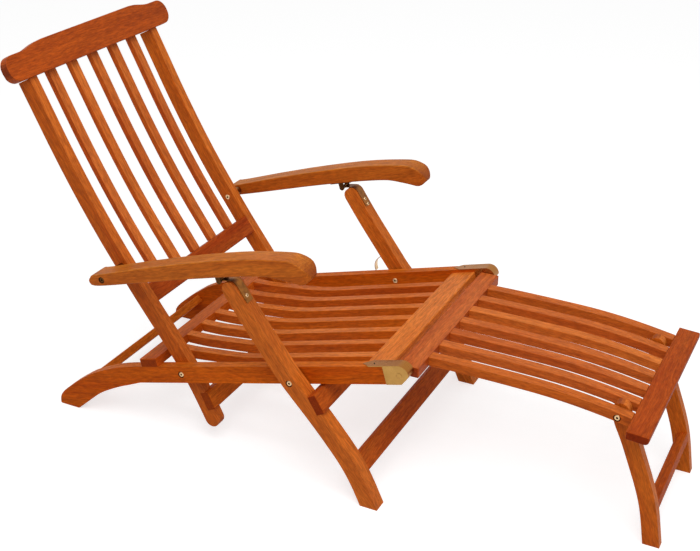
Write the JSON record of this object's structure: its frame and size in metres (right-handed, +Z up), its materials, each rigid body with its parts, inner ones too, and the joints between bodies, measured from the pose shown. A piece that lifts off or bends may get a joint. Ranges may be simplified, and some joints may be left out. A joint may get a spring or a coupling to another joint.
{
  "type": "folding deck chair",
  "caption": "Folding wooden deck chair with slatted reclining back, curved slatted seat, armrests, crossed front legs, brass fittings and a fold-down slatted footrest on legs.",
  "frame": {"origin": "on the floor under the middle of the chair's box", "axes": "+X to the footrest, +Y to the sitter's left, +Z up"},
  "size_m": [1.4304, 0.605, 0.8581],
  "materials": {
    "slat_wood": "oiled hardwood, satin",
    "frame_wood": "oiled hardwood, satin",
    "crest_wood": "oiled hardwood, satin",
    "brass": "lacquered brass, slightly dull"
  },
  "bodies": {
    "seat_frame": {"rail_right": "frame_wood", "rail_left": "frame_wood", "rear_seat_crossbar": "slat_wood", "rear_foot_stretcher": "frame_wood", "front_seat_rail": "slat_wood", "seat_slat_1": "slat_wood", "seat_slat_2": "slat_wood", "seat_slat_3": "slat_wood", "seat_slat_4": "slat_wood", "seat_slat_5": "slat_wood", "seat_slat_6": "slat_wood", "seat_slat_7": "slat_wood", "nose_cap_right": "brass", "nose_cap_left": "brass", "back_pivot_bolt_right": "brass", "back_pivot_bolt_left": "brass", "leg_pivot_bolt_right": "brass", "leg_pivot_bolt_left": "brass", "footrest_pivot_pin_right": "brass", "footrest_pivot_pin_left": "brass"},
    "backrest": {"stile_right": "frame_wood", "stile_left": "frame_wood", "crest_rail": "crest_wood", "back_mid_bar": "slat_wood", "back_lower_bar": "frame_wood", "back_slat_1": "slat_wood", "back_slat_2": "slat_wood", "back_slat_3": "slat_wood", "back_slat_4": "slat_wood", "back_slat_5": "slat_wood", "armrest_bolt_right": "brass", "armrest_bolt_left": "brass", "armrest_spacer_right": "brass", "armrest_spacer_left": "brass"},
    "armrest_right_body": {"armrest_right": "slat_wood", "armrest_hinge_right": "brass"},
    "armrest_left_body": {"armrest_left": "slat_wood", "armrest_hinge_left": "brass"},
    "front_leg_frame": {"front_leg_right": "frame_wood", "front_leg_left": "frame_wood", "leg_upper_crossbar": "slat_wood", "leg_lower_stretcher": "slat_wood", "leg_top_strap_right": "brass", "leg_top_strap_left": "brass", "stay_hook": "brass"},
    "footrest": {"footrest_rear_bar": "slat_wood", "footrest_slat_1": "slat_wood", "footrest_slat_2": "slat_wood", "footrest_slat_3": "slat_wood", "footrest_slat_4": "slat_wood", "footrest_slat_5": "slat_wood", "footrest_rail_right": "frame_wood", "footrest_rail_left": "frame_wood", "footrest_end_bar": "slat_wood", "footrest_leg_bolt_right": "brass", "footrest_leg_bolt_left": "brass"},
    "footrest_legs": {"footrest_leg_right": "frame_wood", "footrest_leg_left": "frame_wood", "footrest_leg_stretcher": "frame_wood"}
  },
  "joints": [
    {"name": "back_fold", "type": "hinge", "parent": "seat_frame", "child": "backrest", "pos_m": [-0.33175, 0, 0.1734], "axis": [0, 1, 0], "range_deg": [0, 92]},
    {"name": "leg_fold", "type": "hinge", "parent": "seat_frame", "child": "front_leg_frame", "pos_m": [-0.03627, 0, 0.25296], "axis": [0, 1, 0], "range_deg": [0, 97.2]},
    {"name": "armrest_right_turn", "type": "hinge", "parent": "backrest", "child": "armrest_right_body", "pos_m": [-0.48235, 0, 0.39569], "axis": [0, 1, 0], "range_deg": [-95.2, 0]},
    {"name": "armrest_left_turn", "type": "hinge", "parent": "backrest", "child": "armrest_left_body", "pos_m": [-0.48235, 0, 0.39569], "axis": [0, 1, 0], "range_deg": [-95.2, 0]},
    {"name": "footrest_fold", "type": "hinge", "parent": "seat_frame", "child": "footrest", "pos_m": [0.19354, 0, 0.31484], "axis": [0, 1, 0], "range_deg": [0, 90]},
    {"name": "footrest_leg_fold", "type": "hinge", "parent": "footrest", "child": "footrest_legs", "pos_m": [0.60904, 0, 0.29254], "axis": [0, 1, 0], "range_deg": [0, 110]}
  ],
  "couplings": [
    {"joint": "leg_fold", "follows": "back_fold", "ratio": 1.055},
    {"joint": "armrest_right_turn", "follows": "back_fold", "ratio": -1.0325},
    {"joint": "armrest_left_turn", "follows": "back_fold", "ratio": -1.0325}
  ]
}
